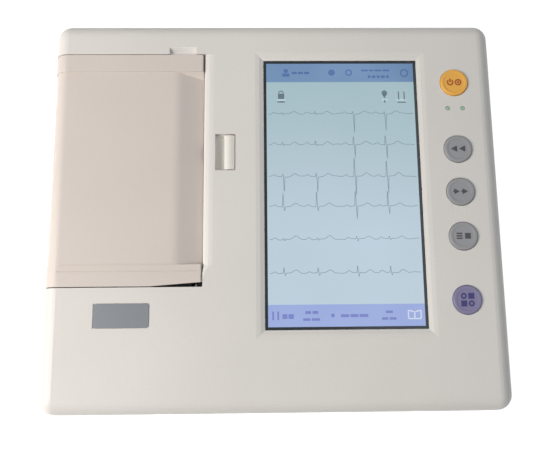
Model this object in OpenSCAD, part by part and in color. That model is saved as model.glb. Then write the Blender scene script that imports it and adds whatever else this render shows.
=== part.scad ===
// Desktop ECG recorder: a wedge shaped case with a touch display, a column of
// keys and an 80 mm thermal printer under a side-hinged paper door.
// Units are millimetres. X runs right, Y runs back and Z runs up from the desk.
// "Deck" coordinates (u, v, n) lie on the sloping top: u right, v back, n out.

/* [Case] */
// Width of the case
case_w = 296; // [284:1:324]
// Depth of the case
case_d = 258; // [250:1:280]
// Height of the deck plane above the desk at mid depth
deck_h = 68; // [68:1:76]
// Slope of the deck, rising towards the back
tilt = 5; // [3:0.5:6]
// Radius of the case's upright corners and top edges
corner_r = 10; // [8:0.5:11]
// Thickness of the case walls
wall = 2.5; // [2:0.1:3]
// Height of the joint between the two case halves
parting_z = 32; // [30:1:34]
// Height of the rubber feet
foot_h = 4; // [3:0.5:6]
// Radius of the rubber feet
foot_r = 8; // [6:0.5:10]

/* [Paper door] */
// Distance from the case's left side to the door's free edge
door_w = 100.6; // [99:0.1:103]
// Distance from the deck's front edge to the door
door_front = 78.2; // [74:0.2:79]
// Distance from the deck's back edge to the door
door_back = 24.6; // [23:0.1:27]
// Gap round the door
door_gap = 0.6; // [0.5:0.1:1]
// Thickness of the door's skin
door_t = 2.4; // [2:0.1:2.8]
// Depth of the finger scoop at the door's free edge
scoop_depth = 5.6; // [4:0.2:6]

/* [Display] */
// Width of the strip between the door and the display window
latch_strip = 40.6; // [40:0.2:48]
// Width of the strip between the window and the case's right side
key_strip = 52.4; // [50:0.2:58]
// Distance from the deck's front edge to the window
window_front = 50.4; // [46:0.2:56]
// Distance from the deck's back edge to the window
window_back = 29; // [27:0.2:34]
// Thickness of the touch glass
glass_t = 1.8; // [1.1:0.1:2]

/* [Keys] */
// Radius of the key caps
key_r = 9.25; // [8:0.05:10]
// Gap between a cap and its hole
key_gap = 0.3; // [0.2:0.05:0.5]
// Height of the caps above the deck
key_proud = 1.2; // [1:0.1:2]
// Travel of each key
key_travel = 0.8; // [0.5:0.1:1]
// Distance from the case's right side to the column of keys
key_right = 27; // [26:0.1:28]

/* [Printer] */
// Width of the paper roll
paper_w = 80; // [78:0.5:80]
// Radius of a full paper roll
roll_r = 21; // [15:0.5:21.5]
// Radius of the platen roller's rubber sleeve
platen_r = 6; // [5.8:0.05:6]
// Radius of the platen shaft
platen_shaft_r = 2; // [1.5:0.1:2.2]

/* [Hidden] */
$fn = 64;
eps = 0.01;
sx2 = [-1, 1];
xc = case_w/2 - corner_r;
yc = case_d/2 - corner_r;
split = 0.3;                          // small gap between parts of other bodies
run = 0.05;                           // radial running clearance of a shaft
left = -case_w/2;                     // deck u of the case's left side
right = case_w/2;
vb = case_d/2 / cos(tilt);            // deck v of the back edge, near enough

// Door opening in the deck
door_u1 = left + door_w;              // free edge
door_v1 = vb - door_back;             // back edge
door_v0 = door_front - vb;            // front edge
hole_u1 = door_u1 + door_gap;
hole_v1 = door_v1 + door_gap;
hole_v0 = door_v0 - door_gap;

// Hinge of the door, low on the left side
hinge_r = 3;
hinge_pin_r = 1.25;
hinge_u = left + hinge_r;
hinge_n = -16;
hinge_boss = 5;                       // length of each hinge boss
hinge_clear = 1.3;                    // lets the door swing down past the side
lip_n = hinge_n - hinge_r - hinge_clear; // the side wall is open above this

// Printer, all places from the door's front and free edges
platen_v = door_v0 + 5.6;
platen_n = -11;
bearing_r = platen_shaft_r + 1.5;
cradle_r = bearing_r + 0.15;          // notch that a bearing drops into
plate_t = 1.2;
plate_r1 = door_u1 - 3.7;             // right side plate, outer face
plate_l0 = left + 6.9;                // left side plate, outer face
plate_top = platen_n + 1.5;
ear_l = plate_l0 + plate_t + 0.4;     // outer faces of the door's ears
ear_r = plate_r1 - plate_t - 0.4;
sleeve_l = ear_l + plate_t + 2;       // clears the left plate as it opens
sleeve_r = ear_r - plate_t - 0.5;
gear_module = 0.5;
teeth_p = 22;
teeth_i = 34;
teeth_m = 12;
gear_w = 2.6;
gear_u = plate_r1 + 0.5;
function pitch_r(z) = z*gear_module/2;
mesh_pi = pitch_r(teeth_p) + pitch_r(teeth_i);
mesh_im = pitch_r(teeth_i) + pitch_r(teeth_m);
idler_dir = -90;                      // direction platen to idler in (v, n)
motor_dir = 0;                        // direction idler to motor in (v, n)
idler_v = platen_v + mesh_pi*cos(idler_dir);
idler_n = platen_n + mesh_pi*sin(idler_dir);
motor_v = idler_v + mesh_im*cos(motor_dir);
motor_n = idler_n + mesh_im*sin(motor_dir);
motor_r = 8.5;
motor_len = 17;

// Paper tray, a box hung under the door opening
tray_t = 2;
tray_u0 = left + 6.6;
tray_u1 = hole_u1;
tray_v0 = door_v0 - 12;
tray_v1 = hole_v1;
// the tray's floor clears the bottom cover's floor at its low front edge
tray_n = tray_t - (deck_h + (tray_v0 - tray_t)*sin(tilt) - foot_h - wall
                   - 0.2)/cos(tilt);
tray_top = -wall - 0.05;
roll_v = tray_v1 - roll_r - 15;
roll_n = tray_n + 0.4 + roll_r;
journal_r = 2.5;                      // ends of the paper spindle
seat_w = 3;                           // width of the spindle's seats
spindle_r = 6;
core_r = 8;

// Print head, in front of the platen
head_t = 1.6;
head_v = platen_v - platen_r - 0.15;  // heated face
head_lo = platen_n - 13;
head_hi = platen_n + 6;
sink_t = 3;
pivot_r = 1;
pivot_v = head_v - head_t - sink_t/2;
pivot_n = platen_n - 16;
plate_v0 = tray_v0 + 1.6;             // chassis, front face
plate_v1 = motor_v + motor_r + 4;
roll_u = (sleeve_l + sleeve_r)/2;

// Display
window_w = case_w - door_w - latch_strip - key_strip;
window_len = 2*vb - window_front - window_back;
win_u = right - key_strip - window_w/2;
window_v = (window_front - window_back)/2;
glass_w = window_w + 5.6;
glass_len = window_len + 6.4;
pocket_n = -1.3;                      // the glass sits in a pocket under the deck
glass_n = pocket_n - 0.3;             // top face of the glass, over its gasket
lcd_w = window_w + 13.6;
lcd_len = window_len + 12.4;
lcd_t = 6.5;
lcd_n = glass_n - glass_t;
bracket_t = 1.2;
bracket_rim = 12;
bracket_n = lcd_n - lcd_t;

// Keys
key_u = right - key_right;
power_v = window_v + window_len/2 - 16.1;
led_v = power_v - 18;
grey_v = [window_v + 27.2, window_v - 1.8, window_v - 31.3];
start_v = window_v - window_len/2 + 17.5;
led_off = 5;
led_r = 1.6;
key_hole_r = key_r + key_gap;
flange_r = key_hole_r + 1.1;
flange_n = -wall - split;             // top of the flange at rest
flange_t = 0.9;
dome_n = flange_n - flange_t - key_travel - 0.1;
mat_t = 1;
dome_h = 2.4;
board_n = dome_n - dome_h - mat_t;    // top face of the key board
board_t = 1.6;
board_w = 26;
key_lo_v = start_v - 16;
key_hi_v = power_v + 16;
key_screw_u = key_u + 9;
key_screws_v = [key_lo_v + 4, window_v + 12.7, key_hi_v - 4];
display_screws_at = [for (x = sx2) for (y = sx2)
  [win_u + x*(lcd_w/2 - 13), window_v + y*(lcd_len/2 + 5)]];

// Latch beside the door
latch_v = door_v1 - 68.3;
latch_u0 = door_u1 + 8.2;
latch_u1 = latch_u0 + 13.2;
latch_len = 24.8;
hook_n = -9;
hook_t = 3;
hook_len = 8;

// Badge plate, left bare
badge_u = left + 50.6;
badge_v = 59.8 - vb;
badge_w = 35;
badge_len = 15.2;
badge_t = 0.8;

// Screws and feet
foot_x = case_w/2 - 26;
foot_y = case_d/2 - 24;
floor_z = foot_h + wall;              // top of the floor
screw_r = 1.45;
head_r = 2.8;
boss_r = 4;
post_r = 5;
post_top = parting_z + 4;             // where the posts and bosses meet
head_seat = post_top - 12;
screw_front = -(case_d/2 - 13);
screw_back = case_d/2 - 9.5;
screw_in = 50;                        // screws from the case's sides
case_screws_at = [[left + screw_in, screw_front], [0, screw_front],
                  [right - screw_in, screw_front],
                  [left + screw_in, screw_back], [-20, screw_back],
                  [right - 28, screw_back]];

// Battery bay, speaker and boards on the floor of the bottom cover
pack_w = 75;
pack_d = 70;
pack_h = 19;
bay_x = left + 110;
bay_y = 31 - case_d/2;
bay_gap = 0.5;
bay_t = 1.6;
speaker_x = right - 60;
speaker_y = 44 - case_d/2;
speaker_r = 18;
power_x0 = right - 133;
power_x1 = right - 80;
power_y1 = case_d/2 - 25;
power_y0 = power_y1 - 36;
main_x0 = right - 128;
main_x1 = right - wall - 5;
main_y0 = bay_y + pack_d + 16;
main_y1 = power_y0 - 6;
main_len = main_y1 - main_y0;

// Sockets
port_x = right - 0.8;                 // flush face of the right-hand sockets
back_y = case_d/2 - 0.8;              // flush face of the back sockets
pcb_t = 1.6;
pcb_z = floor_z + 5;                  // underside of the boards
patient_y = 69 - case_d/2;
patient_z = 19;
usb_y = main_y0 + 0.3*main_len;
usb_z = pcb_z + pcb_t + 3.6;
lan_y = main_y0 + 0.84*main_len;
lan_z = pcb_z + pcb_t + 6.8;
inlet_x = right - 63;
inlet_z = 19;
stud_x = right - 103;

module on_deck() {
  translate([0, 0, deck_h]) rotate([tilt, 0, 0]) children();
}
// A box on the deck from (u0, v0, n0) to (u1, v1, n1)
module deck_box(u0, u1, v0, v1, n0, n1) {
  translate([u0, v0, n0]) cube([u1 - u0, v1 - v0, n1 - n0]);
}
// A (u, n) outline drawn out along v
module along_v(v0, v1) {
  translate([0, v1, 0]) rotate([90, 0, 0]) linear_extrude(v1 - v0) children();
}
// A (v, n) outline drawn out along u
module along_u(u0, u1) {
  translate([u0, 0, 0]) rotate([90, 0, 90]) linear_extrude(u1 - u0) children();
}
// A rod along u at (v, n)
module rod_u(u0, u1, v, n, r) {
  translate([u0, v, n]) rotate([0, 90, 0]) cylinder(r=r, h=u1 - u0);
}
// A rod along v at (u, n)
module rod_v(v0, v1, u, n, r) {
  translate([u, v1, n]) rotate([90, 0, 0]) cylinder(r=r, h=v1 - v0);
}
module rounded(w, d, r) {
  for (x = sx2) for (y = sx2) translate([x*(w/2 - r), y*(d/2 - r)]) circle(r);
  square([w, d - 2*r], center=true);
  square([w - 2*r, d], center=true);
}
// The wedge shaped form of the case, grown inwards by inset
module wedge(inset, z0) {
  r = corner_r - inset;
  hull() for (x = sx2) for (y = sx2) translate([x*xc, y*yc, 0]) {
    translate([0, 0, z0]) cylinder(r=r, h=1, $fn=32);
    translate([0, 0, deck_h + y*yc*tan(tilt) - corner_r/cos(tilt)])
      sphere(r, $fn=32);
  }
}
// Deck height at depth y, on the row's axes
function deck_z(y) = deck_h + y*tan(tilt);

// --- Case halves -------------------------------------------------------
rim_depth = 1.9;
rim_w = 6.2;
rim_ramp = 8;                         // the rim runs out over this length
rim_v0 = door_v0 + 13;
module rim_profile() {
  polygon([[hole_u1 - 1, 1], [hole_u1 - 1, -rim_depth],
           [hole_u1, -rim_depth], [hole_u1 + 1.6, -rim_depth/2],
           [hole_u1 + 3.6, -rim_depth/6], [hole_u1 + rim_w, 0],
           [hole_u1 + rim_w, 1]]);
}
module window_bevel(out0, n0, out1, n1) {
  hull() for (b = [[out0, n0], [out1, n1]])
    translate([win_u, window_v, b[1]])
      cube([window_w + 2*b[0], window_len + 2*b[0], 0.1], center=true);
}
module top_cuts() {
  on_deck() {
    deck_box(left - 5, hole_u1, hole_v0, hole_v1, lip_n, 20);
    // rounded rim along the door's free edge
    along_v(rim_v0, hole_v1) rim_profile();
    translate([0, rim_v0, 0]) rotate([-asin((rim_depth - 0.1)/rim_ramp), 0, 0])
      along_v(-rim_ramp, 0.3) rim_profile();
    // sloping bevel round the display, gentler at its outer side
    window_bevel(6, 0.05, 3.4, -0.3);
    window_bevel(3.6, -0.2, 0, pocket_n - 0.1);
    deck_box(win_u - glass_w/2 - 0.4, win_u + glass_w/2 + 0.4,
             window_v - glass_len/2 - 0.4, window_v + glass_len/2 + 0.4,
             -wall - 1, pocket_n);
    for (v = concat([power_v, start_v], grey_v))
      translate([key_u, v, -wall - 1]) cylinder(r=key_hole_r, h=wall + 3);
    for (s = sx2) translate([key_u + s*led_off, led_v, -wall - 1])
      cylinder(r=led_r, h=wall + 3);
    deck_box(latch_u0, latch_u1, latch_v - latch_len/2, latch_v + latch_len/2,
             -wall - 1, 2);
    deck_box(badge_u - badge_w/2 - 0.2, badge_u + badge_w/2 + 0.2,
             badge_v - badge_len/2 - 0.2, badge_v + badge_len/2 + 0.2, -0.6, 2);
    // nail notch behind the door's back edge
    intersection() {
      rod_u(door_u1 - 23, door_u1 - 5, hole_v1 + 0.5, 4, 6);
      deck_box(door_u1 - 30, door_u1, hole_v1 - 0.5, hole_v1 + 9, -3, 5);
    }
  }
}
module top_cover() {
  color([0.84, 0.80, 0.76]) difference() {
    union() {
      difference() {
        wedge(0, parting_z);
        wedge(wall, parting_z - 2);
      }
      for (p = case_screws_at) translate([p[0], p[1], post_top])
        cylinder(r=boss_r, h=deck_z(p[1]) - post_top - wall + 0.8);
      on_deck() {
        for (v = [hole_v0 - hinge_boss, hole_v1])
          deck_box(left + wall - 1, hinge_u + hinge_r, v, v + hinge_boss,
                   hinge_n - hinge_r, hinge_n + hinge_r + 1);
        for (p = display_screws_at) translate([p[0], p[1], bracket_n])
          cylinder(r=3, h=-bracket_n - 1);
        for (v = key_screws_v) translate([key_screw_u, v, board_n])
          cylinder(r=2.4, h=-board_n - 1);
      }
    }
    top_cuts();
    for (p = case_screws_at) translate([p[0], p[1], post_top - 1])
      cylinder(r=screw_r + 0.02, h=12);
    on_deck() {
      rod_v(hole_v0 - hinge_boss + 1, hole_v1 + hinge_boss - 1,
            hinge_u, hinge_n, hinge_pin_r + 0.02);
      for (p = display_screws_at) translate([p[0], p[1], bracket_n - 1])
        cylinder(r=1.02, h=7);
      for (v = key_screws_v) translate([key_screw_u, v, board_n - 1])
        cylinder(r=0.92, h=5.5);
    }
  }
}
module case_outline(inset) {
  rounded(case_w - 2*inset, case_d - 2*inset, corner_r - inset);
}
function corners(x0, x1, y0, y1, in) =
  [for (x = [x0 + in, x1 - in]) for (y = [y0 + in, y1 - in]) [x, y]];
board_posts = concat(corners(main_x0, main_x1, main_y0, main_y1, 4),
                     corners(power_x0, power_x1, power_y0, power_y1, 4));
cover_screws_at = [[bay_x + pack_w/2, bay_y - 4], [bay_x + pack_w/2, bay_y + pack_d + 4]];

module bottom_cover() {
  color([0.80, 0.77, 0.73]) difference() {
    union() {
      difference() {
        hull() {
          translate([0, 0, foot_h]) linear_extrude(0.1)
            case_outline(2, $fn=32);
          translate([0, 0, foot_h + 2])
            linear_extrude(parting_z - foot_h - 2.5) case_outline(0, $fn=32);
        }
        translate([0, 0, floor_z]) linear_extrude(parting_z)
          case_outline(wall);
      }
      // lip that the top cover fits over
      translate([0, 0, parting_z - 4]) linear_extrude(6) difference() {
        case_outline(wall + 0.15);
        case_outline(wall + 1.4);
      }
      translate([0, 0, parting_z - 4]) linear_extrude(2) difference() {
        case_outline(wall - 0.5);
        case_outline(wall + 1.4);
      }
      for (p = case_screws_at) translate([p[0], p[1], foot_h + 1])
        cylinder(r=post_r, h=post_top - foot_h - 1);
      for (p = board_posts) translate([p[0], p[1], floor_z - 1])
        cylinder(r=2.5, h=pcb_z - floor_z + 1);
      // ledge ring of the speaker
      translate([speaker_x, speaker_y, floor_z - 1]) difference() {
        cylinder(r=speaker_r + 2, h=5);
        translate([0, 0, -1]) cylinder(r=speaker_r + 0.3, h=8);
      }
    }
    for (p = case_screws_at) translate([p[0], p[1], 0]) {
      cylinder(r=screw_r + 0.25, h=post_top + 1);
      cylinder(r=head_r + 0.5, h=head_seat);
    }
    for (x = sx2) for (y = sx2) translate([x*foot_x, y*foot_y, 0])
      cylinder(r=foot_r + 0.2, h=foot_h + 1);
    for (p = board_posts) translate([p[0], p[1], floor_z])
      cylinder(r=1, h=pcb_z);
    // battery cover seat: a wide step and a hole through the floor
    translate([bay_x - 8, bay_y - 8, foot_h - 1])
      cube([pack_w + 16, pack_d + 16, 2.3]);
    translate([bay_x - bay_gap, bay_y - bay_gap, 0])
      cube([pack_w + 2*bay_gap, pack_d + 2*bay_gap, floor_z + 1]);
    for (p = cover_screws_at) translate([p[0], p[1], 0])
      cylinder(r=1.02, h=floor_z + 1);
    for (i = [-4:4]) translate([speaker_x - 11, speaker_y + i*3 - 0.7, 0])
      cube([22, 1.4, floor_z + 0.5]);
    // cooling slots under the boards
    for (i = [0:9]) translate([main_x0 + 14 + i*8, main_y0 + 12, 0])
      cube([2.5, main_len - 30, floor_z + 0.5]);
    // the lip makes room for the flanges of the back sockets
    translate([inlet_x - 16, case_d/2 - wall - 3, inlet_z])
      cube([32, 3, 12.3]);
    translate([stud_x - 10, case_d/2 - wall - 3, inlet_z]) cube([20, 3, 10]);
    // ports
    translate([right - wall - 1, patient_y - 20, patient_z - 6.5])
      cube([wall + 2, 40, 13]);
    translate([right - wall - 1, usb_y - 7, usb_z - 3.8])
      cube([wall + 2, 14, 7.6]);
    translate([right - wall - 1, lan_y - 8.3, lan_z - 7])
      cube([wall + 2, 16.6, 14]);
    translate([inlet_x - 13.9, case_d/2 - wall - 1, inlet_z - 10.3])
      cube([27.8, wall + 2, 20.6]);
    translate([stud_x, case_d/2 + 1, inlet_z]) rotate([90, 0, 0])
      cylinder(r=7.3, h=wall + 2);
  }
}
module battery_bay() {
  // walls that stand on the floor round the pack
  color([0.78, 0.75, 0.71])
    translate([bay_x - bay_gap - bay_t, bay_y - bay_gap - bay_t, floor_z])
      difference() {
        cube([pack_w + 2*(bay_gap + bay_t), pack_d + 2*(bay_gap + bay_t),
              pack_h + 3]);
        translate([bay_t, bay_t, -1])
          cube([pack_w + 2*bay_gap, pack_d + 2*bay_gap, pack_h + 8]);
      }
}
module battery_cover() {
  color([0.78, 0.75, 0.71]) difference() {
    union() {
      translate([bay_x - 7.7, bay_y - 7.7, foot_h])
        cube([pack_w + 15.4, pack_d + 15.4, 1.2]);
      translate([bay_x, bay_y, foot_h + 1])
        cube([pack_w, pack_d, wall - 1]);
    }
    for (p = cover_screws_at) translate([p[0], p[1], foot_h - 1])
      cylinder(r=1.3, h=4);
    for (i = [0:3]) translate([bay_x + 12 + i*4, bay_y + 10, foot_h - 1])
      cube([1.6, pack_d - 20, 1.6]);
  }
}
module battery_cover_screws() {
  color("silver") for (p = cover_screws_at) translate([p[0], p[1], 0]) {
    translate([0, 0, foot_h - 1]) cylinder(r=2.2, h=1);
    translate([0, 0, foot_h - 0.1]) cylinder(r=1, h=wall + 0.1);
  }
}
module battery_pack() {
  color([0.2, 0.25, 0.4]) translate([bay_x, bay_y, floor_z + 0.1])
    cube([pack_w, pack_d, pack_h]);
}
module rubber_feet() {
  color([0.25, 0.25, 0.26]) for (x = sx2) for (y = sx2)
    translate([x*foot_x, y*foot_y, 0]) rotate_extrude()
      polygon([[0, 0], [foot_r - 1.2, 0], [foot_r, 1.2],
               [foot_r, foot_h + 1], [0, foot_h + 1]]);
}
module case_screws() {
  color("silver") for (p = case_screws_at) translate([p[0], p[1], 0])
    difference() {
      union() {
        translate([0, 0, head_seat - 2.2]) cylinder(r=head_r, h=2.2);
        translate([0, 0, head_seat - 0.1]) cylinder(r=screw_r, h=20.6);
      }
      translate([0, 0, head_seat - 3]) cylinder(r=1.2, h=1.8, $fn=6);
    }
}

// --- Paper door --------------------------------------------------------
panel_drop = 0.6;                     // bands at both ends stand proud
band_front = 13.8;
band_back = 12;
scoop_w = 19.8;
slot_len = 33;
slot_w = 2.6;
mid_v0 = door_v0 + band_front;
mid_v1 = door_v1 - band_back;
function arc(cx, cy, r, a0, a1, steps=10) =
  [for (i = [0:steps]) let (a = a0 + (a1 - a0)*i/steps)
    [cx + r*cos(a), cy + r*sin(a)]];
// Depth of the panel's outer face at u
// It bends down softly, then slopes straight to the free edge
scoop_bend = 0.3;
function scoop_n(u) = let (t = max(0, (u - door_u1 + scoop_w)/scoop_w),
    f = t < scoop_bend ? t*t/(2*scoop_bend) : t - scoop_bend/2)
  -panel_drop - (scoop_depth - panel_drop)*f/(1 - scoop_bend/2);
// Door section: outer face sunk by drop, scooped or flat to its free edge
module door_section(drop, scooped) {
  steps = 16;
  edge_u = [for (i = [0:steps]) door_u1 - scoop_w + scoop_w*i/steps];
  top = scooped ? [for (u = edge_u) [u, scoop_n(u)]]
                : [[door_u1 - 0.6, -drop], [door_u1, -drop - 0.6]];
  low = scooped
    ? [for (i = [0:steps]) let (u = edge_u[steps - i])
        [u, min(-door_t, scoop_n(u) - door_t + panel_drop)]]
    : [[door_u1, -door_t]];
  polygon(concat([[left + drop, hinge_n]],
                 arc(left + corner_r, -corner_r, corner_r - drop, 180, 90),
                 top, low,
                 arc(left + corner_r, -corner_r, corner_r - door_t, 90, 180),
                 [[left + door_t, hinge_n]]));
}
module door_panel() {
  color([0.85, 0.80, 0.76]) on_deck() difference() {
    union() {
      along_v(door_v0, mid_v0) door_section(0, false);
      along_v(mid_v0, mid_v1) door_section(panel_drop, true);
      along_v(mid_v1, door_v1) door_section(0, false);
      for (v = [mid_v0 - 2, mid_v1])
        deck_box(door_u1 - scoop_w, door_u1, v, v + 2,
                 -scoop_depth - door_t + panel_drop, -door_t + 0.5);
      // sloping back end of the scoop
      along_u(door_u1 - scoop_w, door_u1) polygon([
        [mid_v1 + 1, -0.8], [mid_v1 + 1, -scoop_depth - 1.2],
        [mid_v1 - scoop_depth + 0.8, -scoop_depth - 0.8], [mid_v1, -0.6]]);
      // barrel round the hinge pin
      rod_v(door_v0, door_v1, hinge_u, hinge_n, hinge_r);
      // flange that the latch hook enters
      deck_box(door_u1 - 2, door_u1, latch_v - 16, latch_v + 16,
               hook_n - 4, -scoop_depth - 1);
      // stiffening ribs
      for (v = [mid_v0 + 30, mid_v1 - 30])
        deck_box(left + 12, door_u1 - scoop_w, v, v + 1.4, -door_t - 2.2,
                 -door_t + 0.5);
    }
    rod_v(door_v0 - 1, door_v1 + 1, hinge_u, hinge_n, hinge_pin_r + run);
    deck_box(door_u1 - 3, door_u1 + 1, latch_v - hook_len/2 - 0.5,
             latch_v + hook_len/2 + 0.5, hook_n - hook_t/2 - 0.4,
             hook_n + hook_t/2 + 0.4);
    // fine groove across the front band
    deck_box(left + 9, door_u1 + 1, door_v0 + 9.3, door_v0 + 9.9, -0.5, 1);
    // slot that lets the strip out, widening towards the free edge
    translate([0, 0, -door_t - 1]) linear_extrude(door_t + 2)
      polygon([[door_u1 - slot_len, door_v0 - 1], [door_u1 + 1, door_v0 - 1],
               [door_u1 + 1, door_v0 + slot_w], [door_u1 - slot_len, door_v0]]);
  }
}
module door_hinge_pin() {
  color("silver") on_deck()
    rod_v(hole_v0 - hinge_boss + 1.2, hole_v1 + hinge_boss - 1.2,
          hinge_u, hinge_n, hinge_pin_r);
}
// Steel bracket under the door's front band with an ear at each end
module platen_bracket() {
  color("silver") on_deck() difference() {
    union() {
      deck_box(ear_l, ear_r, platen_v - 3.5, platen_v + 5.5,
               -door_t - plate_t, -door_t - 0.2);
      for (u = [ear_l, ear_r - plate_t]) {
        deck_box(u, u + plate_t, platen_v - 3.5, platen_v + 3.5,
                 platen_n, -door_t - plate_t + 0.2);
        rod_u(u, u + plate_t, platen_v, platen_n, 3.5);
      }
    }
    rod_u(ear_l - 1, ear_r + 1, platen_v, platen_n, platen_shaft_r + run);
  }
}
module platen_roller() {
  color([0.15, 0.15, 0.16]) on_deck() difference() {
    rod_u(sleeve_l, sleeve_r, platen_v, platen_n, platen_r);
    rod_u(sleeve_l - 1, sleeve_r + 1, platen_v, platen_n,
          platen_shaft_r + 0.01);
  }
}
module platen_shaft() {
  color("silver") on_deck()
    rod_u(plate_l0 - 0.2, gear_u + gear_w + 0.3, platen_v, platen_n,
          platen_shaft_r);
}
module platen_bearings() {
  color([0.72, 0.6, 0.3]) on_deck() difference() {
    union() {
      rod_u(plate_l0 - 0.1, ear_l, platen_v, platen_n, bearing_r);
      rod_u(ear_r, plate_r1 + 0.1, platen_v, platen_n, bearing_r);
    }
    rod_u(plate_l0 - 1, plate_r1 + 1, platen_v, platen_n,
          platen_shaft_r + run);
  }
}

// --- Printer -----------------------------------------------------------
function polar(r, a) = [r*cos(a), r*sin(a)];
// Angle by which an involute of base radius rb has turned at radius r
function inv_at(rb, r) = let (c = acos(min(1, rb/r))) tan(c)*180/PI - c;
// Half the angle of a tooth at radius r, thinned by the backlash
function tooth_half(z, r) = let (p = pitch_r(z), rb = p*cos(20))
  90/z - 1.6/z + inv_at(rb, p) - inv_at(rb, max(r, rb));
// Outline of a gear with z teeth, the first one centred on phase
function gear_points(z, phase) = let (
    p = pitch_r(z), root = p - 1.3*gear_module, tip = p + 0.92*gear_module,
    rs = [root, max(root + 0.02, p*cos(20)), p, p + 0.5*gear_module, tip])
  [for (i = [0:z - 1]) for (side = [1, 0]) for (j = [0:4])
    let (k = side == 1 ? j : 4 - j, sgn = side == 1 ? -1 : 1)
      polar(rs[k], phase + 360*i/z + sgn*tooth_half(z, rs[k]))];
phase_i = idler_dir + 180;            // an idler tooth points at the platen
phase_p = idler_dir + 180/teeth_p;    // and the platen has a gap there
phase_m = motor_dir + 180 + 180/teeth_m
          - (phase_i - motor_dir)*teeth_i/teeth_m;
module gear(z, phase, v, n, u0, w, bore) {
  difference() {
    translate([0, v, n]) along_u(u0, u0 + w) polygon(gear_points(z, phase));
    rod_u(u0 - 1, u0 + w + 1, v, n, bore);
  }
}
module platen_gear() {
  color([0.2, 0.2, 0.21]) on_deck()
    gear(teeth_p, phase_p, platen_v, platen_n, gear_u, gear_w,
         platen_shaft_r + 0.01);
}
module idler_gear() {
  color([0.2, 0.2, 0.21]) on_deck()
    gear(teeth_i, phase_i, idler_v, idler_n, gear_u, gear_w, 1.5 + run);
}
module idler_axle() {
  color("silver") on_deck() {
    rod_u(plate_r1 - plate_t, gear_u + gear_w + 0.2, idler_v, idler_n, 1.5);
    rod_u(gear_u + gear_w + 0.1, gear_u + gear_w + 0.7, idler_v, idler_n, 2.4);
  }
}
module motor_pinion() {
  color([0.75, 0.65, 0.35]) on_deck() union() {
    translate([0, motor_v, motor_n]) along_u(gear_u, gear_u + gear_w)
      polygon(gear_points(teeth_m, phase_m));
    rod_u(plate_r1 - plate_t - 6, gear_u + 0.5, motor_v, motor_n, 1);
  }
}
module feed_motor() {
  color([0.6, 0.6, 0.62]) on_deck() difference() {
    rod_u(plate_r1 - plate_t - motor_len, plate_r1 - plate_t,
          motor_v, motor_n, motor_r);
    rod_u(plate_r1 - plate_t - 7, plate_r1, motor_v, motor_n, 1 + run);
  }
}
module side_plate(u) {
  difference() {
    along_u(u, u + plate_t) polygon([
      [plate_v0, tray_n], [plate_v1, tray_n], [plate_v1, motor_n + 4],
      [platen_v + 9, plate_top], [plate_v0 + 2, plate_top],
      [plate_v0, plate_top - 2]]);
    along_u(u - 1, u + plate_t + 1) union() {
      translate([platen_v, platen_n]) circle(cradle_r);
      translate([platen_v - cradle_r, platen_n]) square([2*cradle_r, 20]);
    }
    rod_u(u - 1, u + plate_t + 1, pivot_v, pivot_n, pivot_r + 0.02);
  }
}
module printer_chassis() {
  color([0.7, 0.7, 0.72]) on_deck() difference() {
    union() {
      side_plate(plate_l0);
      side_plate(plate_r1 - plate_t);
      deck_box(plate_l0, plate_r1, plate_v0, plate_v1, tray_n, tray_n + plate_t);
      deck_box(plate_l0, plate_r1, plate_v0, plate_v0 + plate_t,
               tray_n, plate_top - 3);
    }
    rod_u(plate_r1 - plate_t - 1, plate_r1 + 1, motor_v, motor_n, 1.6);
    rod_u(plate_r1 - plate_t - 1, plate_r1 + 1, idler_v, idler_n, 1.52);
  }
}
module print_head() {
  color([0.35, 0.3, 0.28]) on_deck()
    deck_box(sleeve_l, sleeve_r, head_v - head_t, head_v, head_lo, head_hi);
}
module head_heat_sink() {
  color([0.78, 0.78, 0.8]) on_deck() difference() {
    union() {
      deck_box(sleeve_l, sleeve_r, head_v - head_t - sink_t, head_v - head_t,
               pivot_n, head_hi - 4);
      rod_u(sleeve_l, sleeve_r, pivot_v, pivot_n, sink_t/2);
    }
    for (i = [0:8]) deck_box(sleeve_l + 6 + i*8, sleeve_l + 9 + i*8,
      head_v - head_t - sink_t - 1, head_v - head_t - 1.2, pivot_n + 4, 0);
    rod_u(sleeve_l - 1, sleeve_r + 1, pivot_v, pivot_n, pivot_r + run);
  }
}
module head_pivot_pin() {
  color("silver") on_deck()
    rod_u(plate_l0, plate_r1, pivot_v, pivot_n, pivot_r);
}
// Coil springs between the chassis and the heat sink
spring_v0 = plate_v0 + plate_t;
spring_v1 = head_v - head_t - sink_t;
spring_wire = 0.35;
spring_turns = 3.5;
module spring_coil(u, n) {
  rings = 42;
  sides = 6;
  len = spring_v1 - spring_v0 - 2*spring_wire - 0.1;
  pts = [for (i = [0:rings]) let (a = 360*spring_turns*i/rings)
    for (k = [0:sides - 1]) let (b = 360*k/sides,
                                 r = 2 + spring_wire*cos(b))
      [u + r*cos(a), spring_v0 + spring_wire + 0.05 + len*i/rings
         + spring_wire*sin(b), n + r*sin(a)]];
  polyhedron(pts, concat(
    [[for (k = [0:sides - 1]) k]],
    [[for (k = [sides - 1:-1:0]) rings*sides + k]],
    [for (i = [0:rings - 1]) for (k = [0:sides - 1])
      let (a = i*sides + k, b = i*sides + (k + 1) % sides)
        [b, a, a + sides, b + sides]]));
}
module head_springs() {
  color("silver") on_deck()
    for (u = [sleeve_l + 10.5, sleeve_r - 10.5])
      spring_coil(u, platen_n - 1);
}
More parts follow.
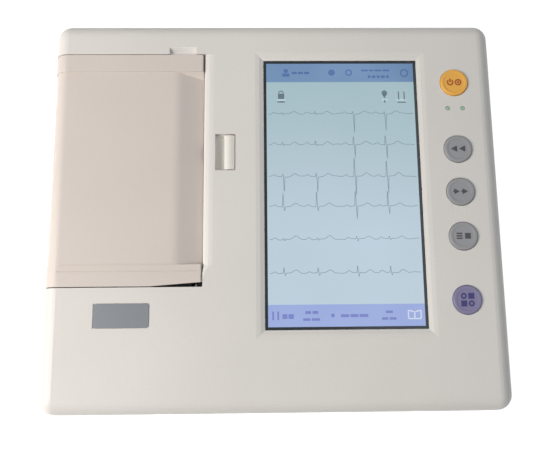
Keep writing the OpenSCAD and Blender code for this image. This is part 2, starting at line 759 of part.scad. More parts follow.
module tear_bar() {
  bite = 1.2;
  bar_v = hole_v0 - 0.3;
  color("silver") on_deck()
    translate([0, 0, tray_top - 1]) linear_extrude(1) polygon(concat(
      [[sleeve_r, bar_v - 4], [sleeve_l, bar_v - 4]],
      [for (i = [0:52]) let (u = sleeve_l + (sleeve_r - sleeve_l)*i/52)
        [u, bar_v - (i % 2 == 0 ? bite : 0.4)]]));
}

// --- Latch -------------------------------------------------------------
thumb_u0 = latch_u0 + 6;
thumb_w = 6.6;
slide_n = -wall - split;              // top of the sliding plate
slide_t = 3;
dish_t = 1.4;                         // finger dish left of the ridge
rail_n = slide_n - slide_t - split;   // top of the guide's floor
neck_u0 = latch_u0 - 0.4;
neck_w = 4;
module latch_slider() {
  color([0.88, 0.85, 0.81]) on_deck() union() {
    difference() {
      deck_box(latch_u0 - 2.7, latch_u1 + 3.2, latch_v - latch_len/2 - 2.5,
               latch_v + latch_len/2 + 2.5, slide_n - slide_t, slide_n);
      deck_box(latch_u0 + 0.4, thumb_u0, latch_v - latch_len/2 + 0.7,
               latch_v + latch_len/2 - 0.7, slide_n - dish_t, slide_n + 1);
    }
    along_v(latch_v - latch_len/2 + 0.7, latch_v + latch_len/2 - 0.7)
      polygon(concat([[thumb_u0, slide_n - 0.5]],
        [for (i = [0:8]) [thumb_u0 + thumb_w*i/8,
          -1.1 + 0.9*sin(180*i/8)]],
        [[thumb_u0 + thumb_w, slide_n - 0.5]]));
    deck_box(neck_u0, neck_u0 + neck_w, latch_v - hook_len/2,
             latch_v + hook_len/2, hook_n - hook_t/2, slide_n - dish_t - 0.5);
    deck_box(hole_u1 + split, neck_u0 + neck_w, latch_v - hook_len/2,
             latch_v + hook_len/2, hook_n - hook_t/2, hook_n + hook_t/2);
  }
}
module latch_guide() {
  v0 = latch_v - latch_len/2 - 4.4;
  v1 = latch_v + latch_len/2 + 4.4;
  color([0.7, 0.7, 0.72]) on_deck() difference() {
    deck_box(tray_u1 + tray_t + 0.3, latch_u1 + 6, v0, v1,
             rail_n - plate_t, tray_top);
    deck_box(tray_u1, latch_u1 + 8, v0 + 1.6, v1 - 1.6, rail_n, 0);
    deck_box(tray_u1, neck_u0 + neck_w + 0.5, latch_v - hook_len/2 - 0.6,
             latch_v + hook_len/2 + 0.6, rail_n - 3, 0);
  }
}

// --- Paper compartment -------------------------------------------------
module paper_tray() {
  color([0.74, 0.71, 0.68]) on_deck() difference() {
    union() {
      difference() {
        deck_box(tray_u0 - tray_t, tray_u1 + tray_t, tray_v0 - tray_t,
                 tray_v1 + tray_t, tray_n - tray_t, tray_top);
        deck_box(tray_u0, tray_u1, tray_v0, tray_v1, tray_n, 5);
        // the door's own side closes the compartment above the lip
        deck_box(left - 5, tray_u0, tray_v0 - 9, tray_v1 + 9, lip_n - 0.6, 5);
      }
      // ledge that meets the case's left wall under the opening
      deck_box(left + wall + 0.2, tray_u0 - tray_t + 0.5, hole_v0, hole_v1,
               lip_n - 3, lip_n - 0.6);
      // seats for the spindle
      for (u = [tray_u0, tray_u1 - seat_w])
        along_u(u, u + seat_w) polygon([[roll_v - 8, tray_n - 0.5],
          [roll_v + 8, tray_n - 0.5], [roll_v + 6, roll_n + 4],
          [roll_v - 6, roll_n + 4]]);
    }
    for (u = [tray_u0 - eps, tray_u1 - seat_w - 1])
      along_u(u, u + seat_w + 1) union() {
        translate([roll_v, roll_n]) circle(journal_r + run);
        translate([roll_v - journal_r - run, roll_n])
          square([2*(journal_r + run), 12]);
      }
    // the corner of the case curves down over the tray's left end
    deck_box(left, left + corner_r + 0.2, tray_v0 - 9, tray_v1 + 9,
             -wall - 1.2, 5);
    // window for the latch hook
    deck_box(tray_u1 - 1, tray_u1 + tray_t + 1, latch_v - hook_len/2 - 0.6,
             latch_v + hook_len/2 + 0.6, hook_n - hook_t/2 - 0.5, 0);
  }
}
module paper_roll() {
  color([0.93, 0.93, 0.9]) on_deck() difference() {
    rod_u(roll_u - paper_w/2, roll_u + paper_w/2, roll_v, roll_n, roll_r);
    rod_u(roll_u - 60, roll_u + 60, roll_v, roll_n, core_r);
  }
}
module roll_core() {
  color([0.6, 0.5, 0.38]) on_deck() difference() {
    rod_u(roll_u - paper_w/2, roll_u + paper_w/2, roll_v, roll_n,
          core_r - 0.02);
    rod_u(roll_u - 60, roll_u + 60, roll_v, roll_n, spindle_r + 0.05);
  }
}
module paper_spindle() {
  color([0.3, 0.3, 0.32]) on_deck() union() {
    rod_u(tray_u0 + seat_w + 0.4, tray_u1 - seat_w - 0.4, roll_v, roll_n,
          spindle_r);
    rod_u(tray_u0 + 0.3, tray_u1 - 0.3, roll_v, roll_n, journal_r);
  }
}

// --- Display -----------------------------------------------------------
module display_gasket() {
  color([0.15, 0.15, 0.16]) on_deck() difference() {
    deck_box(win_u - glass_w/2, win_u + glass_w/2, window_v - glass_len/2,
             window_v + glass_len/2, glass_n, pocket_n - 0.02);
    deck_box(win_u - window_w/2 - 0.6, win_u + window_w/2 + 0.6,
             window_v - window_len/2 - 0.6, window_v + window_len/2 + 0.6,
             glass_n - 1, 0);
  }
}
module touch_panel() {
  color([0.05, 0.05, 0.06]) on_deck()
    deck_box(win_u - glass_w/2, win_u + glass_w/2, window_v - glass_len/2,
             window_v + glass_len/2, glass_n - glass_t, glass_n);
}
module lcd_module() {
  color([0.6, 0.7, 0.75]) on_deck() difference() {
    deck_box(win_u - lcd_w/2, win_u + lcd_w/2, window_v - lcd_len/2,
             window_v + lcd_len/2, lcd_n - lcd_t, lcd_n);
    for (x = sx2) for (y = sx2)
      translate([win_u + x*(lcd_w/2 - 3), window_v + y*(lcd_len/2 - 3),
                 lcd_n - lcd_t - 1]) cylinder(r=1, h=4);
  }
}
module display_bracket() {
  color("silver") on_deck() difference() {
    union() {
      deck_box(win_u - lcd_w/2, win_u + lcd_w/2, window_v - lcd_len/2,
               window_v + lcd_len/2, bracket_n - bracket_t, bracket_n);
      for (p = display_screws_at)
        deck_box(p[0] - 4, p[0] + 4, p[1] - 6, p[1] + 6,
                 bracket_n - bracket_t, bracket_n);
    }
    deck_box(win_u - lcd_w/2 + bracket_rim, win_u + lcd_w/2 - bracket_rim,
             window_v - lcd_len/2 + bracket_rim,
             window_v + lcd_len/2 - bracket_rim,
             bracket_n - bracket_t - 1, bracket_n + 1);
    for (p = display_screws_at) translate([p[0], p[1], bracket_n - 3])
      cylinder(r=1.3, h=6);
  }
}
module screw_up(x, y, n, r, head, len) {
  translate([x, y, n - 1.2]) cylinder(r=head, h=1.2);
  translate([x, y, n - 0.1]) cylinder(r=r, h=len);
}
module display_screws() {
  color("silver") on_deck() for (p = display_screws_at)
    screw_up(p[0], p[1], bracket_n - bracket_t, 1, 2, 6.5);
}

// --- Keys --------------------------------------------------------------
cap_round = 0.9;
key_dish = 0.25;
module key_cap(v) {
  on_deck() translate([key_u, v, 0]) rotate_extrude() polygon(concat(
    [[0, flange_n - flange_t], [flange_r, flange_n - flange_t],
     [flange_r, flange_n], [key_r, flange_n]],
    arc(key_r - cap_round, key_proud - cap_round, cap_round, 0, 90, 5),
    [[key_r - 2, key_proud], [key_r - 2.8, key_proud - key_dish],
     [0, key_proud - key_dish]]));
}
module power_key() { color([0.96, 0.62, 0.15]) key_cap(power_v); }
module rewind_key() { color([0.62, 0.62, 0.64]) key_cap(grey_v[0]); }
module advance_key() { color([0.62, 0.62, 0.64]) key_cap(grey_v[1]); }
module select_key() { color([0.62, 0.62, 0.64]) key_cap(grey_v[2]); }
module start_key() { color([0.45, 0.41, 0.62]) key_cap(start_v); }
module key_mat() {
  color([0.75, 0.75, 0.73]) on_deck() difference() {
    union() {
      deck_box(key_u - board_w/2 + 1, key_u + board_w/2 - 1, key_lo_v + 1,
               key_hi_v - 1, board_n, board_n + mat_t);
      for (v = concat([power_v, start_v], grey_v))
        translate([key_u, v, board_n]) rotate_extrude()
          polygon([[0, 0], [6, 0], [6, mat_t], [4.4, dome_h + mat_t],
                   [0, dome_h + mat_t]]);
    }
    for (s = sx2) translate([key_u + s*led_off, led_v, board_n - 1])
      cylinder(r=led_r + 0.3, h=4);
    for (v = key_screws_v) translate([key_screw_u, v, board_n - 1])
      cylinder(r=2.7, h=4);
  }
}
module key_board() {
  color([0.1, 0.4, 0.2]) on_deck() difference() {
    deck_box(key_u - board_w/2, key_u + board_w/2, key_lo_v, key_hi_v,
             board_n - board_t, board_n);
    for (v = key_screws_v) translate([key_screw_u, v, board_n - 3])
      cylinder(r=1.15, h=6);
  }
}
module led_pipes() {
  color([0.6, 0.75, 0.6]) on_deck()
    for (s = sx2) translate([key_u + s*led_off, led_v, board_n])
      rotate_extrude() polygon([[0, 0], [led_r + 0.1, 0], [led_r + 0.1, 1.5],
        [led_r - 0.05, 1.5], [led_r - 0.05, -board_n - 0.5],
        [led_r - 0.4, -board_n - 0.15], [0, -board_n - 0.05]]);
}
module key_board_screws() {
  color("silver") on_deck() for (v = key_screws_v)
    screw_up(key_screw_u, v, board_n - board_t, 0.9, 1.9, 5.5);
}
module badge_plate() {
  color([0.6, 0.6, 0.6]) on_deck()
    translate([badge_u, badge_v, -0.6]) linear_extrude(badge_t)
      rounded(badge_w, badge_len, 2);
}

// --- Electronics and sockets -------------------------------------------
module board(x0, x1, y0, y1) {
  difference() {
    translate([x0, y0, pcb_z]) cube([x1 - x0, y1 - y0, pcb_t]);
    for (p = corners(x0, x1, y0, y1, 4)) translate([p[0], p[1], pcb_z - 1])
      cylinder(r=1.3, h=4);
  }
}
module main_board() {
  color([0.08, 0.35, 0.2]) board(main_x0, main_x1, main_y0, main_y1);
}
module board_chips() {
  // place as a share of the board, then width, depth and height
  chips = [[0.12, 0.24, 22, 22, 1.6], [0.42, 0.2, 14, 14, 1.4],
           [0.12, 0.72, 18, 10, 1.2], [0.4, 0.68, 10, 10, 3.5],
           [0.62, 0.75, 12, 7, 5], [0.66, 0.28, 9, 9, 2.2]];
  color([0.12, 0.12, 0.13]) for (c = chips)
    translate([main_x0 + c[0]*(main_x1 - main_x0),
               main_y0 + c[1]*(main_len - c[3]), pcb_z + pcb_t])
      cube([c[2], c[3], c[4]]);
}
module power_board() {
  color([0.1, 0.3, 0.35]) board(power_x0, power_x1, power_y0, power_y1);
}
module power_components() {
  z = pcb_z + pcb_t;
  color([0.7, 0.6, 0.2]) {
    translate([power_x0 + 16, power_y0 + 10, z]) cube([20, 17, 13]);
    for (i = [0, 1]) translate([power_x0 + 44, power_y0 + 9 + i*13, z])
      cylinder(r=5, h=13);
    translate([power_x0 + 7, power_y0 + 12, z]) cube([3, 14, 12]);
  }
}
module mains_inlet() {
  // a shuttered body whose rim lies flush in the back wall
  color([0.08, 0.08, 0.09]) difference() {
    union() {
      translate([inlet_x - 13.6, back_y - 4, inlet_z - 10]) cube([27.2, 4, 20]);
      translate([inlet_x - 15.5, case_d/2 - wall - 20, inlet_z - 12])
        cube([31, 20 - 0.05, 24]);
    }
    translate([inlet_x - 11, back_y - 17, inlet_z - 7]) cube([22, 18, 14]);
    for (p = inlet_pins_at) translate([inlet_x + p[0] - 1.01, back_y - 24,
                                       inlet_z + p[1] - 2.01])
      cube([2.02, 10, 4.02]);
  }
}
inlet_pins_at = [[0, 2], [-7, -2], [7, -2]];
module inlet_pins() {
  color("silver") for (p = inlet_pins_at)
    translate([inlet_x + p[0] - 1, back_y - 23, inlet_z + p[1] - 2])
      cube([2, 21, 4]);
}
stud_r = 3;
cup_r = 7;
cup_depth = 10;
module earth_stud() {
  // an equipotential post in a recessed cup
  color([0.8, 0.7, 0.4]) translate([stud_x, back_y, inlet_z])
    rotate([90, 0, 0]) rotate_extrude() polygon([
      [0, 0.2], [stud_r - 0.6, 0.2], [stud_r, 0.8], [stud_r, cup_depth],
      [cup_r - 0.8, cup_depth], [cup_r - 0.8, 0], [cup_r, 0],
      [cup_r, wall - 0.75], [cup_r + 2.5, wall - 0.75],
      [cup_r + 2.5, wall + 0.8], [cup_r, wall + 0.8],
      [cup_r, cup_depth + 1.2], [0, cup_depth + 1.2]]);
}
module patient_socket() {
  color([0.1, 0.12, 0.3]) difference() {
    union() {
      translate([right - 0.8 - 4, patient_y - 19.7, patient_z - 6.2])
        cube([4, 39.4, 12.4]);
      translate([right - wall - 10.05, patient_y - 22, patient_z - 8])
        cube([10, 44, 16]);
    }
    for (s = sx2) translate([right - 9, patient_y + s*16.65, patient_z])
      rotate([0, 90, 0]) cylinder(r=1.45, h=10);
    // groove round the insert
    translate([right - 3, patient_y, patient_z]) rotate([90, 0, 90])
      linear_extrude(4) difference() {
        polygon([[-12.6, 4.2], [12.6, 4.2], [11, -4.2], [-11, -4.2]]);
        polygon([[-11.8, 3.4], [11.8, 3.4], [10.4, -3.4], [-10.4, -3.4]]);
      }
    for (i = [-3.5:3.5]) translate([right - 4, patient_y + i*2.76,
                                    patient_z + 1.42])
      rotate([0, 90, 0]) cylinder(r=0.5, h=5);
    for (i = [-3:3]) translate([right - 4, patient_y + i*2.76,
                                patient_z - 1.42])
      rotate([0, 90, 0]) cylinder(r=0.5, h=5);
  }
}
module usb_socket() {
  color("silver") union() {
    difference() {
      union() {
        translate([port_x - 4, usb_y - 6.6, usb_z - 3.5]) cube([4, 13.2, 7]);
        translate([right - wall - 13, usb_y - 7.4, usb_z - 3.6])
          cube([13 - 0.05, 14.8, 8]);
      }
      translate([port_x - 12, usb_y - 6.1, usb_z - 2.4]) cube([14, 12.2, 4.8]);
    }
    translate([port_x - 12.5, usb_y - 5.4, usb_z + 0.2]) cube([12, 10.8, 1.9]);
  }
}
module lan_socket() {
  color([0.7, 0.7, 0.72]) difference() {
    union() {
      translate([port_x - 4, lan_y - 8, lan_z - 6.7]) cube([4, 16, 13.4]);
      translate([right - wall - 16, lan_y - 9, lan_z - 6.8])
        cube([16 - 0.05, 18, 14.4]);
    }
    translate([port_x - 13, lan_y - 5.9, lan_z - 4.6]) cube([15, 11.8, 9]);
  }
}
module speaker() {
  color([0.3, 0.3, 0.3]) translate([speaker_x, speaker_y, floor_z])
    rotate_extrude() polygon([[0, 0.6], [12, 0.3], [15, 0], [speaker_r, 0],
      [speaker_r, 3], [12, 5], [9, 9], [0, 9]]);
}

top_cover();
bottom_cover();
battery_bay();
battery_cover();
battery_cover_screws();
rubber_feet();
case_screws();
door_panel();
door_hinge_pin();
platen_bracket();
platen_roller();
platen_shaft();
platen_bearings();
platen_gear();
idler_gear();
idler_axle();
motor_pinion();
feed_motor();
printer_chassis();
print_head();
head_heat_sink();
head_pivot_pin();
head_springs();
tear_bar();
latch_slider();
latch_guide();
paper_tray();
paper_roll();
roll_core();
paper_spindle();
touch_panel();
display_gasket();
lcd_module();
display_bracket();
display_screws();
power_key();
rewind_key();
advance_key();
select_key();
start_key();
key_mat();
key_board();
led_pipes();
key_board_screws();
badge_plate();
main_board();
board_chips();
power_board();
power_components();
battery_pack();
mains_inlet();
inlet_pins();
earth_stud();
patient_socket();
usb_socket();
lan_socket();
speaker();
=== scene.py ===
import math

import bpy
from mathutils import Matrix, Vector


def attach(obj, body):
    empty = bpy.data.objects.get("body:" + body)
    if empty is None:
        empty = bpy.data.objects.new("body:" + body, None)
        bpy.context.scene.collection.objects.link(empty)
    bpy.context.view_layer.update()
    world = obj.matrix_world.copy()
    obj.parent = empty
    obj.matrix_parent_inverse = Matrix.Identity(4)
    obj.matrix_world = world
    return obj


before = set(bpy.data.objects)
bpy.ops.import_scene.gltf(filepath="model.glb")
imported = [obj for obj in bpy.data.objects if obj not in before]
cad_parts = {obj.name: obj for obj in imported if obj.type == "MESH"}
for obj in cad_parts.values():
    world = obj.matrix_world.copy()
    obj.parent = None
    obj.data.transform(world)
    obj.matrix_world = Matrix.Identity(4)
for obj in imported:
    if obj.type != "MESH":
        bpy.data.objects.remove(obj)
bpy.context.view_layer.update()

MM = 0.001

# --- Places on the part, in millimetres on the sloping deck ------------------
# u runs to the right, v up the slope to the back and n out of the deck; the
# origin is the deck's middle.
TILT = math.radians(5)       # the deck rises to the back
DECK_H = 68.0                # height of the deck's middle
WINDOW = (44.4, 10.7)        # middle of the display window
SCREEN_W = 99.4              # lit area of the display
SCREEN_LEN = 176.6
GLASS_N = -1.6               # face of the touch glass
KEY_U = 121.0                # the column of keys
POWER_V = 84.4
GREY_V = (37.9, 8.9, -20.6)  # rewind, advance and select
START_V = -61.6
KEY_TOP = 0.95               # face of the keys


def on_deck(u, v, n):
    """The point of the row frame, in metres, at deck coordinates in mm."""
    y = v * math.cos(TILT) - n * math.sin(TILT)
    z = DECK_H + v * math.sin(TILT) + n * math.cos(TILT)
    return Vector((u * MM, y * MM, z * MM))


# --- Camera, fitted to the photograph ------------------------------------------
FRAME_W = 556                # width of the picture, in pixels
FOCAL_PX = 660.0             # focal length, in pixels
SENSOR = 36.0
CAM_AT = (-7.1 * MM, -129.95 * MM, 475.16 * MM)
CAM_TURN = (10.59, -1.063, -0.604)  # degrees about x, y and z, from straight down


def add_camera():
    """The camera, turned against the deck's own slope."""
    cam = bpy.data.cameras.new("camera")
    cam.sensor_width = SENSOR
    cam.lens = FOCAL_PX / FRAME_W * SENSOR
    cam.clip_start = 0.01
    obj = bpy.data.objects.new("camera", cam)
    bpy.context.collection.objects.link(obj)
    rx, ry, rz = (math.radians(a) for a in CAM_TURN)
    turn = (Matrix.Rotation(TILT, 4, "X") @ Matrix.Rotation(rz, 4, "Z")
            @ Matrix.Rotation(ry, 4, "Y") @ Matrix.Rotation(rx, 4, "X"))
    obj.matrix_world = Matrix.Translation(CAM_AT) @ turn
    bpy.context.scene.camera = obj


# --- Materials ---------------------------------------------------------------
class Nodes:
    """A short way to write a material's node tree."""

    def __init__(self, name):
        self.mat = bpy.data.materials.new(name)
        self.mat.use_nodes = True
        self.tree = self.mat.node_tree
        self.tree.nodes.clear()
        self.out = self.tree.nodes.new("ShaderNodeOutputMaterial")

    def add(self, kind, **values):
        node = self.tree.nodes.new("ShaderNode" + kind)
        for key, value in values.items():
            if hasattr(node, key):
                setattr(node, key, value)
            else:
                node.inputs[key.replace("_", " ")].default_value = value
        return node

    def link(self, a, out, b, into):
        self.tree.links.new(a.outputs[out], b.inputs[into])

    def noise(self, scale, detail, rough=0.5):
        """Noise in the object's own coordinates."""
        coords = self.add("TexCoord")
        node = self.add("TexNoise", Scale=scale, Detail=detail, Roughness=rough)
        self.link(coords, "Object", node, "Vector")
        return node

    def ramp(self, source, stops, out="Fac"):
        """Turns a value into a colour between two stops."""
        node = self.add("ValToRGB")
        for element, (place, colour) in zip(node.color_ramp.elements, stops):
            element.position = place
            element.color = (*colour, 1)
        self.link(source, out, node, "Fac")
        return node

    def spread(self, source, low, high):
        """Moves a noise from 0..1 to low..high."""
        node = self.add("MapRange", To_Min=low, To_Max=high)
        self.link(source, "Fac", node, "Value")
        return node

    def bump(self, source, strength, distance):
        node = self.add("Bump", Strength=strength, Distance=distance)
        self.link(source, "Fac", node, "Height")
        return node

    def shader(self, **values):
        node = self.add("BsdfPrincipled")
        for key, value in values.items():
            node.inputs[key.replace("_", " ")].default_value = value
        self.link(node, "BSDF", self.out, "Surface")
        return node


def srgb(r, g, b):
    """Linear colour from an sRGB colour given in 0 to 255."""
    return tuple(c / 255 / 12.92 if c < 10.3 else ((c / 255 + 0.055) / 1.055) ** 2.4
                 for c in (r, g, b))


def shade(colour, k):
    """The colour, k times as bright."""
    return tuple(min(1.0, c * k) for c in colour)


PLASTIC_GRAIN = 2600


def plastic(name, colour, rough=0.42, vary=0.03, wear=0.02, coat=0.0):
    """Moulded plastic: spark-eroded grain, faint tone drift and handling marks."""
    m = Nodes(name)
    drift = m.noise(9, 2)
    tone = m.ramp(drift, [(0.3, shade(colour, 1 - vary)), (0.7, shade(colour, 1 + vary))])
    fine = m.noise(PLASTIC_GRAIN, 4, 0.6)
    speck = m.noise(900, 2)
    mix = m.add("MixRGB", blend_type="MULTIPLY", Fac=1.0)
    fleck = m.ramp(speck, [(0.35, (1 - wear,) * 3), (0.6, (1.0,) * 3)])
    m.link(tone, "Color", mix, "Color1")
    m.link(fleck, "Color", mix, "Color2")
    dull = m.spread(m.noise(40, 3), rough - 0.05, rough + 0.08)
    bsdf = m.shader(Specular_IOR_Level=0.42, Coat_Weight=coat)
    m.link(mix, "Color", bsdf, "Base Color")
    m.link(dull, "Result", bsdf, "Roughness")
    m.link(m.bump(fine, 0.16, 0.00008), "Normal", bsdf, "Normal")
    return m.mat


def metal(name, colour, rough=0.3, stretch=(1, 1, 40)):
    """Metal with fine drawn lines and slight dulling."""
    m = Nodes(name)
    coords = m.add("TexCoord")
    place = m.add("Mapping")
    place.inputs["Scale"].default_value = stretch
    grain = m.add("TexNoise", Scale=700.0, Detail=2.0)
    m.link(coords, "Object", place, "Vector")
    m.link(place, "Vector", grain, "Vector")
    tone = m.ramp(grain, [(0.3, shade(colour, 0.9)), (0.7, shade(colour, 1.06))])
    dull = m.spread(grain, rough - 0.06, rough + 0.1)
    bsdf = m.shader(Metallic=1.0)
    m.link(tone, "Color", bsdf, "Base Color")
    m.link(dull, "Result", bsdf, "Roughness")
    m.link(m.bump(grain, 0.08, 0.00003), "Normal", bsdf, "Normal")
    return m.mat


def rubber(name, colour):
    """Dull rubber with a little dust."""
    m = Nodes(name)
    fine = m.noise(3000, 3)
    dust = m.ramp(m.noise(60, 4), [(0.35, colour), (0.75, shade(colour, 1.5))])
    bsdf = m.shader(Roughness=0.75, Specular_IOR_Level=0.3)
    m.link(dust, "Color", bsdf, "Base Color")
    m.link(m.bump(fine, 0.3, 0.0001), "Normal", bsdf, "Normal")
    return m.mat


def board_green(name, colour):
    """Solder mask over faint copper tracks."""
    m = Nodes(name)
    coords = m.add("TexCoord")
    tracks = m.add("TexBrick", Scale=160.0)
    m.link(coords, "Object", tracks, "Vector")
    tracks.inputs["Color1"].default_value = (*colour, 1)
    tracks.inputs["Color2"].default_value = (*shade(colour, 1.2), 1)
    tracks.inputs["Mortar"].default_value = (*shade(colour, 1.7), 1)
    bsdf = m.shader(Roughness=0.3)
    m.link(tracks, "Color", bsdf, "Base Color")
    m.link(m.bump(tracks, 0.2, 0.00005), "Normal", bsdf, "Normal")
    return m.mat


def paper_stack(name, colour):
    """Wound thermal paper: fine rings on the ends and a smooth face."""
    m = Nodes(name)
    coords = m.add("TexCoord")
    rings = m.add("TexWave", Scale=300.0, Distortion=0.4)
    rings.wave_type = "RINGS"
    rings.rings_direction = "X"
    m.link(coords, "Object", rings, "Vector")
    tone = m.ramp(rings, [(0.0, shade(colour, 0.93)), (1.0, colour)])
    bsdf = m.shader(Roughness=0.6, Specular_IOR_Level=0.3)
    m.link(tone, "Color", bsdf, "Base Color")
    return m.mat


def glass_face(name):
    """The black-edged touch face."""
    m = Nodes(name)
    smear = m.noise(30, 4)
    tone = m.ramp(smear, [(0.3, srgb(16, 22, 30)), (0.7, srgb(24, 31, 40))])
    dull = m.spread(smear, 0.12, 0.24)
    bsdf = m.shader(Specular_IOR_Level=0.3, Coat_Weight=0.15, Coat_Roughness=0.08)
    m.link(tone, "Color", bsdf, "Base Color")
    m.link(dull, "Result", bsdf, "Roughness")
    return m.mat


GLOW = 0.62        # strength of the display's light
UNDER_GLOW = 0.38  # how much of the tone is left as plain colour


def lit(name, low, high, fade=False):
    """A lit patch of the display; with fade it goes from high in front to low."""
    m = Nodes(name)
    drift = m.noise(14.0, 2)
    if fade:
        coords = m.add("TexCoord")
        split = m.add("SeparateXYZ")
        m.link(coords, "Object", split, "Vector")
        along = m.add("MapRange", From_Min=0.1, From_Max=-0.02)
        m.link(split, "Y", along, "Value")
        both = m.add("Math", operation="MULTIPLY_ADD")
        both.inputs[1].default_value = 0.3
        m.link(drift, "Fac", both, 0)
        scaled = m.add("Math", operation="MULTIPLY")
        scaled.inputs[1].default_value = 0.7
        m.link(along, "Result", scaled, 0)
        m.link(scaled, "Value", both, 2)
        tone = m.ramp(both, [(0.1, low), (0.9, high)], "Value")
    else:
        tone = m.ramp(drift, [(0.3, low), (0.7, high)])
    bsdf = m.shader(Roughness=0.22, Specular_IOR_Level=0.25,
                    Emission_Strength=GLOW)
    dark = m.add("MixRGB", blend_type="MULTIPLY", Fac=1.0)
    dark.inputs["Color2"].default_value = (UNDER_GLOW,) * 3 + (1,)
    m.link(tone, "Color", dark, "Color1")
    m.link(dark, "Color", bsdf, "Base Color")
    m.link(tone, "Color", bsdf, "Emission Color")
    return m.mat


# --- Finishes of the CAD nodes -------------------------------------------------
CASE = srgb(221, 214, 207)
DOOR = srgb(213, 200, 191)
STEEL = (0.62, 0.62, 0.63)

# Each finish: how it is made, its colour, its options and the nodes that wear it
FINISHES = {
    "case_moulding": (plastic, (CASE,), {},
                      ["top_cover"]),
    "door_moulding": (plastic, (DOOR,), {"rough": 0.45},
                      ["door_panel"]),
    "latch_moulding": (plastic, (srgb(232, 225, 216),), {"rough": 0.36},
                       ["latch_slider"]),
    "base_moulding": (plastic, (srgb(214, 206, 197),), {"rough": 0.5, "vary": 0.05},
                      ["bottom_cover", "battery_bay", "battery_cover"]),
    "tray_moulding": (plastic, (srgb(190, 182, 173),), {"rough": 0.6},
                      ["paper_tray"]),
    "dark_moulding": (plastic, (srgb(40, 40, 43),), {"rough": 0.5, "wear": 0.15},
                      ["mains_inlet", "board_chips", "paper_spindle", "speaker"]),
    "black_rubber": (rubber, (srgb(44, 44, 46),), {},
                     ["rubber_feet", "platen_roller", "display_gasket"]),
    "pale_rubber": (rubber, (srgb(196, 196, 192),), {},
                    ["key_mat"]),
    "bright_steel": (metal, (STEEL,), {},
                     ["battery_cover_screws", "case_screws", "door_hinge_pin",
                      "platen_shaft", "head_pivot_pin", "head_springs", "idler_axle",
                      "display_screws", "key_board_screws", "inlet_pins", "tear_bar"]),
    "folded_steel": (metal, (shade(STEEL, 0.8),), {"rough": 0.42},
                     ["platen_bracket", "printer_chassis", "latch_guide",
                      "display_bracket", "feed_motor", "usb_socket", "lan_socket"]),
    "turned_brass": (metal, ((0.62, 0.44, 0.17),), {"rough": 0.32},
                     ["platen_bearings", "motor_pinion", "earth_stud"]),
    "drawn_aluminium": (metal, ((0.72, 0.72, 0.74),), {"rough": 0.4},
                        ["head_heat_sink"]),
    "badge_metal": (metal, (srgb(118, 121, 125),), {"rough": 0.46, "stretch": (40, 1, 1)},
                    ["badge_plate"]),
    "gear_moulding": (plastic, (srgb(50, 50, 53),), {"rough": 0.4},
                      ["platen_gear", "idler_gear"]),
    "ceramic_strip": (plastic, (srgb(110, 96, 90),), {"rough": 0.25, "coat": 0.5},
                      ["print_head"]),
    "thermal_paper": (paper_stack, (srgb(240, 240, 236),), {},
                      ["paper_roll"]),
    "card_tube": (plastic, (srgb(170, 148, 118),), {"rough": 0.8, "vary": 0.1},
                  ["roll_core"]),
    "touch_face": (glass_face, (), {},
                   ["touch_panel"]),
    "panel_body": (metal, (shade(STEEL, 0.6),), {"rough": 0.5},
                   ["lcd_module"]),
    "orange_key": (plastic, (srgb(238, 174, 70),), {"rough": 0.38},
                   ["power_key"]),
    "grey_key": (plastic, (srgb(149, 147, 149),), {"rough": 0.4},
                 ["rewind_key", "advance_key", "select_key"]),
    "purple_key": (plastic, (srgb(128, 121, 152),), {"rough": 0.4},
                   ["start_key"]),
    "solder_mask": (board_green, ((0.02, 0.12, 0.06),), {},
                    ["key_board", "main_board", "power_board"]),
    "part_bodies": (plastic, (srgb(190, 160, 70),), {"rough": 0.4},
                    ["power_components"]),
    "battery_sleeve": (plastic, (srgb(70, 84, 130),), {"rough": 0.25, "coat": 0.4},
                       ["battery_pack"]),
    "lamp_lens": (plastic, (srgb(150, 176, 150),), {"rough": 0.25, "coat": 0.3},
                  ["led_pipes"]),
    "patient_insert": (plastic, (srgb(56, 66, 104),), {"rough": 0.4},
                       ["patient_socket"]),
}
# Edge rounding in mm
ROUNDED = {"top_cover": 0.35, "bottom_cover": 0.35, "door_panel": 0.35,
           "battery_cover": 0.3, "battery_bay": 0.3, "latch_slider": 0.3,
           "paper_tray": 0.3, "badge_plate": 0.15, "mains_inlet": 0.25,
           "patient_socket": 0.2, "lan_socket": 0.15, "usb_socket": 0.15}
WELD_WITHIN = 0.002 * MM
SHARP_ANGLE = math.radians(35)


def soften(obj, width):
    """Joins the CAD mesh's facets and rounds its sharp edges a little."""
    weld = obj.modifiers.new("weld", "WELD")
    weld.merge_threshold = WELD_WITHIN
    bevel = obj.modifiers.new("edges", "BEVEL")
    bevel.width = width * MM
    bevel.segments = 2
    bevel.limit_method = "ANGLE"
    bevel.angle_limit = SHARP_ANGLE
    bevel.use_clamp_overlap = True
    bevel.harden_normals = True


def finish_nodes():
    """Gives every CAD node its material, slot and edge rounding."""
    for name, (make, args, options, nodes) in FINISHES.items():
        mat = make(name, *args, **options)
        for node in nodes:
            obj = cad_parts[node]
            obj.data.materials.clear()
            obj.data.materials.append(mat)
            for face in obj.data.polygons:
                face.material_index = 0
            if node in ROUNDED:
                soften(obj, ROUNDED[node])


# --- Flat pieces on the deck -----------------------------------------------------
def add_mesh(name, verts, faces, mat):
    mesh = bpy.data.meshes.new(name)
    mesh.from_pydata(verts, [], faces)
    mesh.materials.append(mat)
    mesh.update()
    obj = bpy.data.objects.new(name, mesh)
    bpy.context.collection.objects.link(obj)
    return obj


